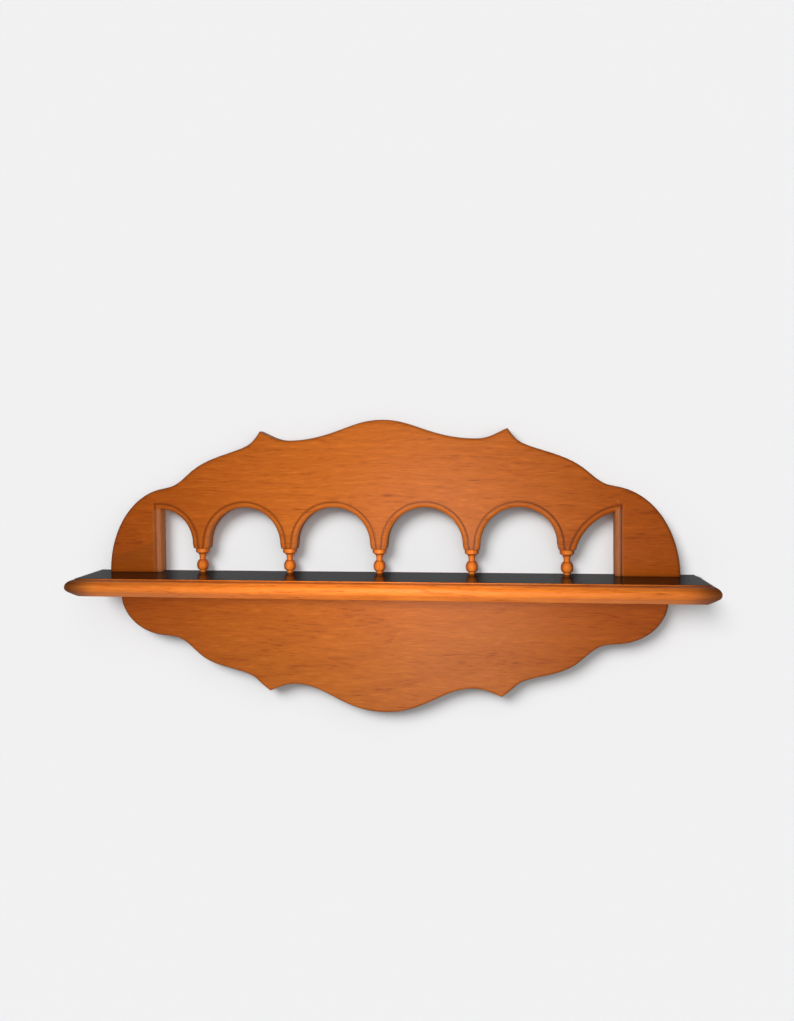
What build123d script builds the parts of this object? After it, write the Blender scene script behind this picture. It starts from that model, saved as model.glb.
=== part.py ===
"""Wall shelf: a moulded shelf board between a scalloped arcade panel and a scalloped lower panel.

Frame: X runs along the shelf, Y into the wall, Z up. The wall is the plane y = 0, and the origin is
where the shelf's top meets the wall, halfway along. All sizes are in millimetres.
"""

import os
from math import radians, sqrt, tan

from build123d import *

os.makedirs("parts", exist_ok=True)

# Shelf board
shelf_length = 762.0
shelf_depth = 88.9
shelf_thickness = 22.2

# Routed edge of the shelf, on its front and both ends, measured in from its tip and down
edge_setback = 9.2
lip_height = 1.5
lip_step = 1.0
tip_drop = 9.3
under_curve_setback = 4.4
under_curve_drop = 16.6
under_setback = 12.4
under_slope = (-0.87, -0.5)
arris_round = 0.6

# Both upright panels, and how far the shelf runs past their ends
panel_thickness = 19.05
panel_edge_round = 3.2
upper_overhang = 28.6
lower_overhang = 42.1

# Arcade of the upper panel
bay_count = 4
web_width = 21.6
web_taper = 1.2
arcade_shift = -4.5
end_bay_width = 54.0
end_block_width = 71.2
jamb_shift = -3.0
springing_height = 36.0
left_arch_height = 80.0

# Right end of the arcade, a flatter arch about a point beyond its jamb
right_arch_radius = 64.0
right_arch_lead = 16.5
right_arch_centre_height = 14.5

# Bead routed round each opening of the arcade
bead_width = 8.2
bead_round = 4.2
quirk_width = 2.0
quirk_depth = 1.8

# Outline of the upper panel: runs go inward from one point to the next, from its end to its middle
upper_end_width = 81.2
upper_end_height = 107.0
upper_end_angle = 79.0
upper_neck_inset = 84.9
upper_neck_height = 109.8
upper_slope_run = 25.0
upper_slope_height = 128.4
upper_knee_run = 34.0
upper_knee_height = 146.0
upper_hollow_run = 35.0
upper_hollow_height = 158.0
upper_cusp_run = 20.6
upper_cusp_height = 177.6
upper_cusp_outer_slope = (-0.55, 0.83)
upper_cusp_inner_slope = (-0.93, -0.37)
upper_dip_run = 36.9
upper_dip_height = 165.5
upper_brow_run = 68.0
upper_brow_height = 179.2
crest_height = 189.8

# Outline of the lower panel, in the same way, with depths below the shelf's top
lower_end_straight = 6.0
lower_end_width = 62.0
lower_end_height = 53.5
lower_end_angle = 81.0
lower_neck_inset = 75.9
lower_neck_depth = 84.2
lower_slope_run = 30.0
lower_slope_depth = 106.6
lower_knee_run = 30.0
lower_knee_depth = 119.9
lower_hollow_run = 37.0
lower_hollow_depth = 131.2
lower_cusp_run = 22.0
lower_cusp_depth = 149.0
lower_cusp_outer_slope = (-0.82, -0.57)
lower_cusp_inner_slope = (-0.95, 0.31)
lower_dip_run = 32.5
lower_dip_depth = 139.8
lower_brow_run = 33.0
lower_brow_depth = 147.2
foot_depth = 172.0

# Turned spindles, heights measured up from the shelf
spindle_height = 30.5
spindle_foot_radius = 4.3
spindle_foot_height = 2.6
spindle_ball_radius = 7.2
spindle_ball_height = 8.4
spindle_shoulder_radius = 4.6
spindle_shoulder_height = 13.9
spindle_waist_radius = 3.7
spindle_throat_radius = 4.8
spindle_cap_cone = 2.5
spindle_cap_radius = 8.5
spindle_cap_thickness = 5.4
spindle_cap_round = 1.5
tenon_radius = 3.2
tenon_length = 9.0

# Keyhole hanger plates
hanger_inset = 149.2
hanger_height = 112.0
plate_width = 17.0
plate_thickness = 1.6
plate_corner = 2.0
plate_setback = 0.3
keyhole_radius = 4.75
keyslot_radius = 2.3
keyslot_length = 14.0
head_pocket_depth = 9.0
plate_screw_gap = 3.0
plate_screw_inset = 5.0

# Small screws of the hanger plates
plate_screw_radius = 1.45
plate_screw_head_radius = 2.8
plate_screw_length = 12.0
plate_screw_point = 2.6

# Wood screws through the shelf into the ends of the upper panel
shelf_screw_radius = 2.1
shelf_screw_head_radius = 4.2
shelf_screw_length = 38.0
shelf_screw_point = 4.0
shelf_screw_inset = 17.0

# Every screw
countersink_angle = 82.0
screw_slot_width = 0.9
screw_slot_depth = 0.7

# Dowels between the shelf and the lower panel
dowel_count = 6
dowel_inset = 73.9
dowel_radius = 4.0
dowel_length = 32.0
dowel_in_shelf = 12.0
dowel_chamfer = 0.8

# Clearances
joint_clearance = 0.1
socket_spare = 0.5
plate_clearance = 0.25
head_clearance = 1.25

# Places worked out from the sizes above
panel_middle_y = -panel_thickness / 2
upper_half_width = shelf_length / 2 - upper_overhang
lower_half_width = shelf_length / 2 - lower_overhang
arcade_half_width = upper_half_width - end_block_width
left_jamb_x = jamb_shift - arcade_half_width
right_jamb_x = jamb_shift + arcade_half_width
bay_pitch = 2 * (arcade_half_width - end_bay_width) / bay_count
arch_radius = (bay_pitch - web_width) / 2
web_places = [arcade_shift + bay_pitch * (number - bay_count / 2) for number in range(bay_count + 1)]
bay_places = [x + bay_pitch / 2 for x in web_places[:-1]]
shelf_screw_distances = [
    arcade_half_width + shelf_screw_inset,
    upper_half_width - shelf_screw_inset,
]
shelf_screw_places = [
    (side * distance, panel_middle_y, -shelf_thickness)
    for side in (-1, 1)
    for distance in shelf_screw_distances
]
dowel_pitch = 2 * (lower_half_width - dowel_inset) / (dowel_count - 1)
dowel_places = [dowel_pitch * (number - (dowel_count - 1) / 2) for number in range(dowel_count)]
hanger_places = [hanger_inset - upper_half_width, upper_half_width - hanger_inset]
plate_back_y = -plate_setback
plate_front_y = plate_back_y - plate_thickness
head_pocket_radius = keyhole_radius + head_clearance
plate_screw_distance = keyslot_length / 2 + head_pocket_radius + plate_screw_gap
plate_length = 2 * (plate_screw_distance + plate_screw_inset)
plate_screw_places = [
    (x, plate_back_y, hanger_height + side * plate_screw_distance)
    for x in hanger_places
    for side in (-1, 1)
]
toward_wall = (0, 1, 0)
from_wall = (0, -1, 0)
along_shelf = (1, 0, 0)
down = (0, 0, -1)


def face_wall(x, y, z):
    """Place whose z axis points into the wall, for work done on the back."""
    return Plane(origin=(x, y, z), x_dir=along_shelf, z_dir=toward_wall)


def face_down(x, y, z):
    """Place whose z axis points down, for work done from below."""
    return Plane(origin=(x, y, z), x_dir=along_shelf, z_dir=down)


def countersunk_holes(places, shank_radius, head_radius, depth):
    """Holes that take countersunk screws with a clearance all round them."""
    with Locations(*places):
        CounterSinkHole(
            radius=shank_radius + joint_clearance,
            counter_sink_radius=head_radius + joint_clearance,
            depth=depth,
            counter_sink_angle=countersink_angle,
        )


# Shelf board: a section along it crossed with a section across it, so the routed edge is mitred
def draw_shelf_section(reach):
    """Half section of the shelf board, from 0 to the tip of its routed edge at reach."""
    arris = reach - edge_setback
    ledge = arris + lip_step
    under = reach - under_setback
    Spline(
        (reach, -tip_drop),
        (reach - under_curve_setback, -under_curve_drop),
        (under, -shelf_thickness),
        tangents=((0, -1), under_slope),
    )
    Polyline(
        (under, -shelf_thickness),
        (0, -shelf_thickness),
        (0, 0),
        (arris, 0),
        (arris, -lip_height),
        (ledge, -lip_height),
    )
    EllipticalCenterArc(
        center=(ledge, -tip_drop),
        x_radius=reach - ledge,
        y_radius=tip_drop - lip_height,
        start_angle=0,
        arc_size=90,
    )


side_view = Plane(origin=(0, 0, 0), x_dir=from_wall, z_dir=(-1, 0, 0))
with BuildPart() as shelf_board:
    with BuildSketch(side_view):
        with BuildLine():
            draw_shelf_section(shelf_depth)
        make_face()
    extrude(amount=shelf_length / 2, both=True)
    with BuildSketch(Plane.XZ):
        with BuildLine():
            draw_shelf_section(shelf_length / 2)
        make_face()
        mirror(about=Plane.YZ)
    extrude(amount=shelf_depth, mode=Mode.INTERSECT)
    top_edges = shelf_board.faces().sort_by(Axis.Z)[-1].edges()
    fillet(top_edges.sort_by(Axis.Y)[:-1], radius=arris_round)
    with Locations(*[(x, panel_middle_y, 0) for x in web_places]):
        Hole(radius=tenon_radius + joint_clearance, depth=tenon_length + socket_spare)
    countersunk_holes(
        [face_down(*place) for place in shelf_screw_places],
        shelf_screw_radius,
        shelf_screw_head_radius,
        shelf_thickness,
    )
    with Locations(*[face_down(x, panel_middle_y, -shelf_thickness) for x in dowel_places]):
        Hole(radius=dowel_radius + joint_clearance, depth=dowel_in_shelf + socket_spare)
shelf_board.part.label = "shelf_board"
export_step(shelf_board.part, "parts/shelf_board.step")


# Bays of the arcade: four whole arches, and part of one at each end beside a straight jamb
def draw_bays(growth):
    """All six bays, each grown outward by the same amount."""
    arch_side = arch_radius + growth
    foot_side = arch_side + web_taper
    for bay_x in bay_places:
        with Locations((bay_x, springing_height)):
            Circle(radius=arch_side)
        with BuildLine() as legs:
            Polyline(
                (bay_x - arch_side, springing_height),
                (bay_x - foot_side, spindle_height),
                (bay_x - foot_side, 0),
                (bay_x + foot_side, 0),
                (bay_x + foot_side, spindle_height),
                (bay_x + arch_side, springing_height),
                close=True,
            )
        make_face(legs.edges())
    draw_left_bay(growth)
    draw_right_bay(growth)


def draw_left_bay(growth):
    """Bay at the left end: a quarter of an ellipse from the jamb to the first web."""
    top = left_arch_height + growth
    jamb_face = left_jamb_x - growth
    web_face = web_places[0] - web_width / 2 + growth
    foot_face = web_face + web_taper
    with BuildLine() as left_bay:
        EllipticalCenterArc(
            center=(left_jamb_x, springing_height),
            x_radius=web_face - left_jamb_x,
            y_radius=top - springing_height,
            start_angle=0,
            arc_size=90,
        )
        if growth:
            Line((left_jamb_x, top), (jamb_face, top))
        Polyline(
            (jamb_face, top),
            (jamb_face, 0),
            (foot_face, 0),
            (foot_face, spindle_height),
            (web_face, springing_height),
        )
    make_face(left_bay.edges())


def draw_right_bay(growth):
    """Bay at the right end: one flat arc from the foot of the last web to the jamb."""
    arch_side = right_arch_radius + growth
    centre_x = right_jamb_x + right_arch_lead
    jamb_face = right_jamb_x + growth
    foot_rise = spindle_height - right_arch_centre_height
    foot_face = centre_x - sqrt(arch_side**2 - foot_rise**2)
    top = right_arch_centre_height + sqrt(arch_side**2 - (centre_x - jamb_face) ** 2)
    with BuildLine() as right_bay:
        RadiusArc((foot_face, spindle_height), (jamb_face, top), arch_side)
        Polyline(
            (jamb_face, top),
            (jamb_face, 0),
            (foot_face, 0),
            (foot_face, spindle_height),
        )
    make_face(right_bay.edges())


# Upper panel: stands on the shelf at its two ends and on the spindles between them
upper_neck_x = upper_half_width - upper_neck_inset
upper_slope_x = upper_neck_x - upper_slope_run
upper_knee_x = upper_slope_x - upper_knee_run
upper_hollow_x = upper_knee_x - upper_hollow_run
upper_cusp_x = upper_hollow_x - upper_cusp_run
upper_dip_x = upper_cusp_x - upper_dip_run
upper_brow_x = upper_dip_x - upper_brow_run
with BuildPart() as upper_panel:
    with BuildSketch(Plane.XZ):
        with BuildLine():
            Line((0, 0), (upper_half_width, 0))
            end_arc = EllipticalCenterArc(
                center=(upper_half_width - upper_end_width, 0),
                x_radius=upper_end_width,
                y_radius=upper_end_height,
                start_angle=0,
                arc_size=upper_end_angle,
            )
            Spline(
                end_arc @ 1,
                (upper_neck_x, upper_neck_height),
                (upper_slope_x, upper_slope_height),
                (upper_knee_x, upper_knee_height),
                (upper_hollow_x, upper_hollow_height),
                (upper_cusp_x, upper_cusp_height),
                tangents=(end_arc % 1, upper_cusp_outer_slope),
            )
            Spline(
                (upper_cusp_x, upper_cusp_height),
                (upper_dip_x, upper_dip_height),
                tangents=(upper_cusp_inner_slope, (-1, 0)),
            )
            Spline(
                (upper_dip_x, upper_dip_height),
                (upper_brow_x, upper_brow_height),
                (0, crest_height),
                tangents=((-1, 0), (-1, 0)),
            )
            Line((0, crest_height), (0, 0))
        make_face()
        mirror(about=Plane.YZ)
    extrude(amount=panel_thickness)
    outline_edges = upper_panel.faces().sort_by(Axis.Y)[0].edges().sort_by(Axis.Z)[1:]
    fillet(outline_edges, radius=panel_edge_round)
    with BuildSketch(Plane.XZ):
        draw_bays(growth=0)
        with Locations((jamb_shift, 0)):
            Rectangle(2 * arcade_half_width, spindle_height, align=(Align.CENTER, Align.MIN))
    extrude(amount=panel_thickness, mode=Mode.SUBTRACT)
    front_edges = upper_panel.faces().sort_by(Axis.Y)[0].edges()
    opening_edges = front_edges.filter_by(
        lambda edge: abs(edge.center().X - jamb_shift) <= arcade_half_width + joint_clearance
        and spindle_height + joint_clearance < edge.center().Z < crest_height / 2
    )
    fillet(opening_edges, radius=bead_round)
    with BuildSketch(Plane.XZ) as bead_tops:
        draw_bays(growth=bead_width - quirk_width)
    with BuildSketch(Plane.XZ.offset(panel_thickness)):
        draw_bays(growth=bead_width)
        add(bead_tops.sketch, mode=Mode.SUBTRACT)
    extrude(amount=-quirk_depth, mode=Mode.SUBTRACT)
    with Locations(*[face_down(x, panel_middle_y, spindle_height) for x in web_places]):
        Hole(radius=tenon_radius + joint_clearance, depth=tenon_length + socket_spare)
    with Locations(*[face_down(x, y, 0) for x, y, z in shelf_screw_places]):
        Hole(
            radius=shelf_screw_radius + joint_clearance,
            depth=shelf_screw_length - shelf_thickness + socket_spare,
        )
    for x in hanger_places:
        with BuildSketch(face_wall(x, 0, hanger_height)):
            RectangleRounded(
                plate_width + 2 * plate_clearance,
                plate_length + 2 * plate_clearance,
                radius=plate_corner + plate_clearance,
            )
        extrude(amount=plate_front_y, mode=Mode.SUBTRACT)
        with BuildSketch(face_wall(x, plate_front_y, hanger_height)):
            SlotCenterToCenter(keyslot_length, 2 * head_pocket_radius, rotation=90)
        extrude(amount=-head_pocket_depth, mode=Mode.SUBTRACT)
    countersunk_holes(
        [face_wall(*place) for place in plate_screw_places],
        plate_screw_radius,
        plate_screw_head_radius,
        plate_screw_length + socket_spare,
    )
upper_panel.part.label = "upper_panel"
export_step(upper_panel.part, "parts/upper_panel.step")

# Lower panel: hangs under the shelf
lower_end_top = -shelf_thickness - lower_end_straight
lower_neck_x = lower_half_width - lower_neck_inset
lower_slope_x = lower_neck_x - lower_slope_run
lower_knee_x = lower_slope_x - lower_knee_run
lower_hollow_x = lower_knee_x - lower_hollow_run
lower_cusp_x = lower_hollow_x - lower_cusp_run
lower_dip_x = lower_cusp_x - lower_dip_run
lower_brow_x = lower_dip_x - lower_brow_run
with BuildPart() as lower_panel:
    with BuildSketch(Plane.XZ):
        with BuildLine():
            Line((0, -shelf_thickness), (lower_half_width, -shelf_thickness))
            Line((lower_half_width, -shelf_thickness), (lower_half_width, lower_end_top))
            end_arc = EllipticalCenterArc(
                center=(lower_half_width - lower_end_width, lower_end_top),
                x_radius=lower_end_width,
                y_radius=lower_end_height,
                start_angle=0,
                arc_size=-lower_end_angle,
            )
            Spline(
                end_arc @ 1,
                (lower_neck_x, -lower_neck_depth),
                (lower_slope_x, -lower_slope_depth),
                (lower_knee_x, -lower_knee_depth),
                (lower_hollow_x, -lower_hollow_depth),
                (lower_cusp_x, -lower_cusp_depth),
                tangents=(end_arc % 1, lower_cusp_outer_slope),
            )
            Spline(
                (lower_cusp_x, -lower_cusp_depth),
                (lower_dip_x, -lower_dip_depth),
                tangents=(lower_cusp_inner_slope, (-1, 0)),
            )
            Spline(
                (lower_dip_x, -lower_dip_depth),
                (lower_brow_x, -lower_brow_depth),
                (0, -foot_depth),
                tangents=((-1, 0), (-1, 0)),
            )
            Line((0, -foot_depth), (0, -shelf_thickness))
        make_face()
        mirror(about=Plane.YZ)
    extrude(amount=panel_thickness)
    outline_edges = lower_panel.faces().sort_by(Axis.Y)[0].edges().sort_by(Axis.Z)[:-1]
    fillet(outline_edges, radius=panel_edge_round)
    with Locations(*[(x, panel_middle_y, -shelf_thickness) for x in dowel_places]):
        Hole(
            radius=dowel_radius + joint_clearance,
            depth=dowel_length - dowel_in_shelf + socket_spare,
        )
lower_panel.part.label = "lower_panel"
export_step(lower_panel.part, "parts/lower_panel.step")

# One turned spindle, standing at the origin with a tenon at each end
cap_underside = spindle_height - spindle_cap_thickness
throat_height = cap_underside - spindle_cap_cone
waist_height = (spindle_shoulder_height + throat_height) / 2
with BuildPart() as spindle:
    with BuildSketch(Plane.XZ):
        with BuildLine():
            Polyline(
                (spindle_foot_radius, spindle_foot_height),
                (spindle_foot_radius, 0),
                (tenon_radius, 0),
                (tenon_radius, -tenon_length),
                (0, -tenon_length),
                (0, spindle_height + tenon_length),
                (tenon_radius, spindle_height + tenon_length),
                (tenon_radius, spindle_height),
                (spindle_cap_radius, spindle_height),
                (spindle_cap_radius, cap_underside),
                (spindle_throat_radius, throat_height),
            )
            ThreePointArc(
                (spindle_foot_radius, spindle_foot_height),
                (spindle_ball_radius, spindle_ball_height),
                (spindle_shoulder_radius, spindle_shoulder_height),
            )
            ThreePointArc(
                (spindle_shoulder_radius, spindle_shoulder_height),
                (spindle_waist_radius, waist_height),
                (spindle_throat_radius, throat_height),
            )
        make_face()
    revolve(axis=Axis.Z)
    cap_edges = spindle.edges().filter_by(GeomType.CIRCLE).filter_by(
        lambda edge: abs(edge.radius - spindle_cap_radius) < joint_clearance
    )
    fillet(cap_edges, radius=spindle_cap_round)
for number, x in enumerate(web_places, start=1):
    with BuildPart() as placed_spindle:
        with Locations((x, panel_middle_y, 0)):
            add(spindle.part)
    placed_spindle.part.label = f"spindle_{number}"
    export_step(placed_spindle.part, f"parts/spindle_{number}.step")

# Keyhole hanger plates, let into the back of the upper panel
for side, x in zip(("left", "right"), hanger_places):
    with BuildPart() as hanger_plate:
        with BuildSketch(face_wall(x, plate_back_y, hanger_height)):
            RectangleRounded(plate_width, plate_length, radius=plate_corner)
            with Locations((0, keyslot_length / 2)):
                Circle(radius=keyhole_radius, mode=Mode.SUBTRACT)
            SlotCenterToCenter(keyslot_length, 2 * keyslot_radius, rotation=90, mode=Mode.SUBTRACT)
        extrude(amount=-plate_thickness)
        countersunk_holes(
            [face_wall(*place) for place in plate_screw_places if place[0] == x],
            plate_screw_radius,
            plate_screw_head_radius,
            plate_thickness,
        )
    hanger_plate.part.label = f"hanger_plate_{side}"
    export_step(hanger_plate.part, f"parts/hanger_plate_{side}.step")


# Countersunk screws with a straight slot across the head
def draw_screw_section(shank_radius, head_radius, length, point):
    """Half section of a screw that points down from its head at the origin."""
    head_depth = (head_radius - shank_radius) / tan(radians(countersink_angle / 2))
    Polyline(
        (0, 0),
        (head_radius, 0),
        (shank_radius, -head_depth),
        (shank_radius, point - length),
        (0, -length),
        (0, 0),
    )


with BuildPart() as plate_screw:
    with BuildSketch(Plane.XZ):
        with BuildLine():
            draw_screw_section(
                plate_screw_radius, plate_screw_head_radius, plate_screw_length, plate_screw_point
            )
        make_face()
    revolve(axis=Axis.Z)
    Box(
        2 * plate_screw_head_radius,
        screw_slot_width,
        screw_slot_depth,
        align=(Align.CENTER, Align.CENTER, Align.MAX),
        mode=Mode.SUBTRACT,
    )
with BuildPart() as hanger_screws:
    with Locations(*[face_wall(*place) for place in plate_screw_places]):
        add(plate_screw.part)
hanger_screws.part.label = "hanger_screws"
export_step(hanger_screws.part, "parts/hanger_screws.step")

with BuildPart() as shelf_screw:
    with BuildSketch(Plane.XZ):
        with BuildLine():
            draw_screw_section(
                shelf_screw_radius, shelf_screw_head_radius, shelf_screw_length, shelf_screw_point
            )
        make_face()
    revolve(axis=Axis.Z)
    Box(
        2 * shelf_screw_head_radius,
        screw_slot_width,
        screw_slot_depth,
        align=(Align.CENTER, Align.CENTER, Align.MAX),
        mode=Mode.SUBTRACT,
    )
with BuildPart() as shelf_screws:
    with Locations(*[face_down(*place) for place in shelf_screw_places]):
        add(shelf_screw.part)
shelf_screws.part.label = "shelf_screws"
export_step(shelf_screws.part, "parts/shelf_screws.step")

# Blind dowels between the shelf and the lower panel
with BuildPart() as lower_panel_dowels:
    with Locations(*[(x, panel_middle_y, dowel_in_shelf - shelf_thickness) for x in dowel_places]):
        Cylinder(
            radius=dowel_radius,
            height=dowel_length,
            align=(Align.CENTER, Align.CENTER, Align.MAX),
        )
    chamfer(lower_panel_dowels.edges().filter_by(GeomType.CIRCLE), length=dowel_chamfer)
lower_panel_dowels.part.label = "lower_panel_dowels"
export_step(lower_panel_dowels.part, "parts/lower_panel_dowels.step")
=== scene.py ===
"""Looks of the wall shelf: lacquered woods, a near-black top, turned spindles, hangers and screws.

All sizes are in metres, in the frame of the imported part: X runs along the shelf, Y into the wall
and Z up. The wall is the plane y = 0, and the shelf's top is the plane z = 0.
"""

import logging
import math
from collections.abc import Iterable
from dataclasses import dataclass
from enum import Enum

import bpy
from mathutils import Matrix, Vector


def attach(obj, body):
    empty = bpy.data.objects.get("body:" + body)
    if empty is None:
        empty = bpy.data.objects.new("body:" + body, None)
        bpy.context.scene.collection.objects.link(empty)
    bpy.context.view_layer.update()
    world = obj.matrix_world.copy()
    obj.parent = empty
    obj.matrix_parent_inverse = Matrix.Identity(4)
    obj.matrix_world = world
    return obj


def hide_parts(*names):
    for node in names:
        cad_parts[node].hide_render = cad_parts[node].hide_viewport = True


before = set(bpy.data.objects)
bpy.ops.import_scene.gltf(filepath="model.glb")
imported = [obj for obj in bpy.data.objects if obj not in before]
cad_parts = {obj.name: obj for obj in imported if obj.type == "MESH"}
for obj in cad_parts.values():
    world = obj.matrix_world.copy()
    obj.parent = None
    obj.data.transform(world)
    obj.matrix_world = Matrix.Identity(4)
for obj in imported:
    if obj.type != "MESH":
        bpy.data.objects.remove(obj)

log = logging.getLogger("wall_shelf")

Colour = tuple[float, float, float]
Place = tuple[float, float, float]
Span = tuple[float, float]
Outline = list[tuple[float, float]]
Node = bpy.types.Node
Socket = bpy.types.NodeSocket
Sockets = bpy.types.bpy_prop_collection
Material = bpy.types.Material
Thing = bpy.types.Object
Number = Socket | float
Tint = Socket | Colour
Inputs = dict[str | int, object]
Control = tuple[str, str, object]

BODY = "root"

# The photograph's frame, its optical centre and its focal length, all in pixels
PICTURE_WIDTH = 794
PICTURE_HEIGHT = 1021
OPTICAL_CENTRE_X = 357.0
OPTICAL_CENTRE_Y = 470.5
FOCAL_LENGTH = 877.723

# The camera's film, in millimetres
FILM_WIDTH = 36.0

# Numbers of the colour inputs of a mix node, and the middle and most of what a noise gives
FIRST_COLOUR = 6
SECOND_COLOUR = 7
NOISE_MIDDLE = 0.5
NOISE_RANGE = (0.3, 0.7)

# Samples of the worn edges and of the painted shade in the crevices
SURFACE_SAMPLES = 6

LACQUER_IOR = 1.5
WHITE = (1.0, 1.0, 1.0, 1.0)


class Grain(Enum):
    """Direction in which a piece's grain runs."""

    ALONG = "along the shelf"
    UPRIGHT = "up the piece"


class Reach(Enum):
    """Whether a lamp's light or shadow takes in only some objects, or all but some."""

    ONLY = "INCLUDE"
    ALL_BUT = "EXCLUDE"


@dataclass(frozen=True)
class Clouds:
    """A cloudy noise: its clouds per metre along each axis, its finer layers and their strength."""

    scale: Place
    detail: float = 2.0
    roughness: float = 0.5


# Noises of every wood
WANDER = Clouds((3.2, 9.0, 9.0), 3.0)
FIBRES = Clouds((9.0, 260.0, 260.0), 4.0, 0.6)
DASHES = Clouds((52.0, 620.0, 620.0), 2.0, 0.60)
MOTTLE = Clouds((7.0, 30.0, 30.0), 3.0, 0.55)
PORES = Clouds((60.0, 1100.0, 1100.0))
END_SPECKS = Clouds((300.0, 900.0, 900.0), 2.0, 0.6)

# Noises of one board's marks
FLAME_WOBBLE = Clouds((30.0, 30.0, 60.0))
TORN_FIBRES = Clouds((900.0, 900.0, 60.0))
LINE_WAVER = Clouds((9.0, 4.0, 4.0))
POLISH_SMEARS = Clouds((5.0, 22.0, 5.0), 3.0, 0.6)
POLISH_DUST = Clouds((420.0, 420.0, 420.0), 1.0)

# Noises of the zinc
BRUSH_MARKS = Clouds((60.0, 900.0, 900.0), 3.0, 0.7)
DULL_SPOTS = Clouds((90.0, 90.0, 90.0), 3.0, 0.6)


def shade(colour: Colour, share: float) -> Colour:
    """Makes a colour darker, to a share of itself."""
    return tuple(share * part for part in colour)


class Recipe:
    """Adds nodes to one tree and joins them up."""

    def __init__(self, tree: bpy.types.NodeTree) -> None:
        """Keeps the tree that the nodes go into."""
        self.tree = tree

    def feed(self, node: Node, inputs: Inputs) -> None:
        """Fills some of a node's inputs.

        Args:
            node: the node.
            inputs: a value or an output socket for each named or numbered input.
        """
        for key, value in inputs.items():
            if isinstance(value, Socket):
                self.tree.links.new(value, node.inputs[key])
            else:
                node.inputs[key].default_value = value

    def add(self, kind: str, inputs: Inputs | None = None, **settings: object) -> Node:
        """Adds one node.

        Args:
            kind: the node's type name.
            inputs: what its inputs get.
            **settings: the node's own properties.

        Returns:
            The new node.
        """
        node = self.tree.nodes.new(kind)
        for name, value in settings.items():
            setattr(node, name, value)
        self.feed(node, inputs or {})
        return node

    def sum(self, operation: str, *numbers: Number) -> Socket:
        """Works out one number from up to three others."""
        return self.add("ShaderNodeMath", dict(enumerate(numbers)), operation=operation).outputs[0]

    def plus(self, first: Number, second: Number) -> Socket:
        """Adds two numbers."""
        return self.sum("ADD", first, second)

    def minus(self, first: Number, second: Number) -> Socket:
        """Takes the second number from the first."""
        return self.sum("SUBTRACT", first, second)

    def times(self, first: Number, second: Number) -> Socket:
        """Multiplies two numbers."""
        return self.sum("MULTIPLY", first, second)

    def onto(self, value: Number, share: Number, base: Number) -> Socket:
        """Adds a share of a value to a base."""
        return self.sum("MULTIPLY_ADD", value, share, base)

    def unsigned(self, value: Number) -> Socket:
        """Takes the sign off a number."""
        return self.sum("ABSOLUTE", value)

    def vectors(self, operation: str, first: Socket, second: Socket | Place) -> Socket:
        """Works out one vector from two others."""
        return self.add("ShaderNodeVectorMath", {0: first, 1: second}, operation=operation).outputs[0]

    def axis(self, vector: Socket, name: str) -> Socket:
        """Takes a vector's part along one axis."""
        return self.add("ShaderNodeSeparateXYZ", {0: vector}).outputs[name]

    def facing(self, name: str) -> Socket:
        """How far the surface faces along one axis."""
        return self.axis(self.add("ShaderNodeNewGeometry").outputs["Normal"], name)

    def rise(self, value: Number, start: float, end: float, low: float = 0.0, high: float = 1.0) -> Socket:
        """Turns a value into a smooth step, low up to its start and high from its end."""
        inputs = {"Value": value, "From Min": start, "From Max": end, "To Min": low, "To Max": high}
        return self.add("ShaderNodeMapRange", inputs, interpolation_type="SMOOTHSTEP").outputs["Result"]

    def fall(self, value: Number, start: float, end: float, high: float = 1.0) -> Socket:
        """Turns a value into a smooth step down to nothing."""
        return self.rise(value, start, end, high, 0.0)

    def mix(self, share: Number, first: Tint, second: Tint, way: str = "MIX") -> Socket:
        """Mixes two colours.

        Args:
            share: how much of the second colour there is.
            first: a colour or socket.
            second: a colour or socket.
            way: the blend, such as MULTIPLY.

        Returns:
            The socket that holds the mixed colour.
        """
        colours = [part if isinstance(part, Socket) else (*part, 1.0) for part in (first, second)]
        inputs = {0: share, FIRST_COLOUR: colours[0], SECOND_COLOUR: colours[1]}
        return self.add("ShaderNodeMix", inputs, data_type="RGBA", blend_type=way).outputs[2]

    def blend_numbers(self, share: Number, first: Number, second: Number) -> Socket:
        """Goes from the first number to the second as the share grows."""
        return self.add("ShaderNodeMix", {0: share, 2: first, 3: second}, data_type="FLOAT").outputs[0]

    def bump(self, strength: float, distance: float, height: Socket) -> Node:
        """Turns a height into small bumps."""
        return self.add("ShaderNodeBump", {"Strength": strength, "Distance": distance, "Height": height})

    def clouds(self, vector: Socket, kind: Clouds) -> Node:
        """Adds a cloudy noise.

        Args:
            vector: the place's socket.
            kind: the noise's scale and layers.

        Returns:
            The noise's node.
        """
        place = self.vectors("MULTIPLY", vector, kind.scale)
        inputs = {"Vector": place, "Scale": 1.0, "Detail": kind.detail, "Roughness": kind.roughness}
        return self.add("ShaderNodeTexNoise", inputs)

    def noise(self, vector: Socket, kind: Clouds) -> Socket:
        """Cloudy noise as one number."""
        return self.clouds(vector, kind).outputs[0]

    def off_noise(self, vector: Socket, kind: Clouds) -> Socket:
        """Cloudy noise as a number about nought."""
        return self.minus(self.noise(vector, kind), NOISE_MIDDLE)


@dataclass
class Layers:
    """Sockets that a finish builds up before they reach its shader."""

    recipe: Recipe
    place: Socket
    colour: Socket
    height: Socket
    roughness: Socket

    def lay(self, share: Number, colour: Tint, way: str = "MIX") -> None:
        """Lays more colour over what is there."""
        self.colour = self.recipe.mix(share, self.colour, colour, way)


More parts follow.
